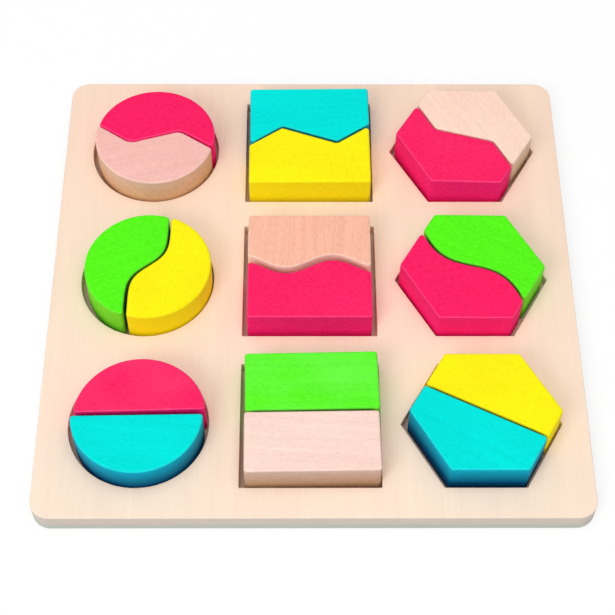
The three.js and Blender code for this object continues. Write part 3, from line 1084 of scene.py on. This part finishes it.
def make_camera(stage):
    lens = bpy.data.cameras.new("camera")
    lens.lens = stage.lens
    lens.clip_start = CLIP_START
    camera = bpy.data.objects.new("camera", lens)
    turned = Matrix.Rotation(-stage.camera_yaw, 4, "Z")
    tilted = Matrix.Rotation(QUARTER_TURN - stage.camera_elevation, 4, "X")
    rolled = Matrix.Rotation(stage.camera_roll, 4, "Z")
    camera.matrix_world = Matrix.Translation(stage.camera_place) @ turned @ tilted @ rolled
    bpy.context.scene.collection.objects.link(camera)
    bpy.context.scene.camera = camera


def make_floor(size):
    reach = size / 2
    corners = [(-reach, -reach, 0), (reach, -reach, 0), (reach, reach, 0), (-reach, reach, 0)]
    mesh = bpy.data.meshes.new("floor")
    mesh.from_pydata(corners, [], [(0, 1, 2, 3)])
    mesh.materials.append(floor_finish())
    floor = bpy.data.objects.new("floor", mesh)
    bpy.context.scene.collection.objects.link(floor)


# Operators


class SHAPEBOARD_OT_layers(Operator):
    """Build the two plywood layers of the board"""

    bl_idname = "shapeboard.layers"
    bl_label = "Board Layers"

    def execute(self, context):
        settings = context.scene.shape_board
        layers, finishes = settings.layers, settings.finishes
        outline = board_outline(layers)
        make_layer(
            settings,
            "base_layer",
            "base_panel",
            [outline],
            top=finishes.shaded_recess_floor,
            side=finishes.base_side,
            low=0.0,
            thickness=layers.base_thickness,
            seed=BASE_SEED,
        )
        make_layer(
            settings,
            "recess_layer",
            "recess_panel",
            [outline] + recess_outlines(settings),
            top=finishes.plywood_top,
            side=finishes.panel_side,
            low=layers.base_thickness,
            thickness=layers.panel_thickness,
            seed=PANEL_SEED,
        )
        return {"FINISHED"}


class SHAPEBOARD_OT_circle_blocks(Operator):
    """Build the six half blocks of the circle column"""

    bl_idname = "shapeboard.circle_blocks"
    bl_label = "Circle Blocks"

    def execute(self, context):
        make_blocks(context.scene.shape_board, "circle")
        return {"FINISHED"}


class SHAPEBOARD_OT_square_blocks(Operator):
    """Build the six half blocks of the square column"""

    bl_idname = "shapeboard.square_blocks"
    bl_label = "Square Blocks"

    def execute(self, context):
        make_blocks(context.scene.shape_board, "square")
        return {"FINISHED"}


class SHAPEBOARD_OT_hexagon_blocks(Operator):
    """Build the six half blocks of the hexagon column"""

    bl_idname = "shapeboard.hexagon_blocks"
    bl_label = "Hexagon Blocks"

    def execute(self, context):
        make_blocks(context.scene.shape_board, "hexagon")
        return {"FINISHED"}


class SHAPEBOARD_OT_stage(Operator):
    """Build the pale floor, the soft light and the camera"""

    bl_idname = "shapeboard.stage"
    bl_label = "Stage"

    def execute(self, context):
        stage = context.scene.shape_board.stage
        context.scene.view_settings.view_transform = "Standard"
        make_floor(stage.floor_size)
        make_world(stage.ambient)
        make_lamp("top_lamp", TOP_LAMP_PLACE, TOP_LAMP_SIZE, stage.top_power)
        make_lamp("front_lamp", FRONT_LAMP_PLACE, FRONT_LAMP_SIZE, stage.front_power)
        make_camera(stage)
        return {"FINISHED"}


class SHAPEBOARD_PT_panel(Panel):
    """Shape board in the 3D view's sidebar"""

    bl_idname = "SHAPEBOARD_PT_panel"
    bl_label = "Shape Board"
    bl_space_type = "VIEW_3D"
    bl_region_type = "UI"
    bl_category = "Shape Board"

    def draw(self, context):
        settings = context.scene.shape_board
        for group in (settings.blocks, settings.layers, settings.splits, settings.finishes, settings.stage):
            box = self.layout.box()
            for name in group.__annotations__:
                box.prop(group, name)
        for operator in OPERATORS:
            self.layout.operator(operator.bl_idname)


OPERATORS = (
    SHAPEBOARD_OT_layers,
    SHAPEBOARD_OT_circle_blocks,
    SHAPEBOARD_OT_square_blocks,
    SHAPEBOARD_OT_hexagon_blocks,
    SHAPEBOARD_OT_stage,
)
CLASSES = (
    ShapeBoardBlocks,
    ShapeBoardLayers,
    ShapeBoardSplits,
    ShapeBoardFinishes,
    ShapeBoardStage,
    ShapeBoardSettings,
    *OPERATORS,
    SHAPEBOARD_PT_panel,
)


def register():
    for cls in CLASSES:
        bpy.utils.register_class(cls)
    bpy.types.Scene.shape_board = PointerProperty(type=ShapeBoardSettings)


def unregister():
    del bpy.types.Scene.shape_board
    for cls in reversed(CLASSES):
        bpy.utils.unregister_class(cls)


def main():
    register()
    bpy.ops.shapeboard.layers()
    bpy.ops.shapeboard.circle_blocks()
    bpy.ops.shapeboard.square_blocks()
    bpy.ops.shapeboard.hexagon_blocks()
    bpy.ops.shapeboard.stage()


if __name__ == "__main__":
    main()
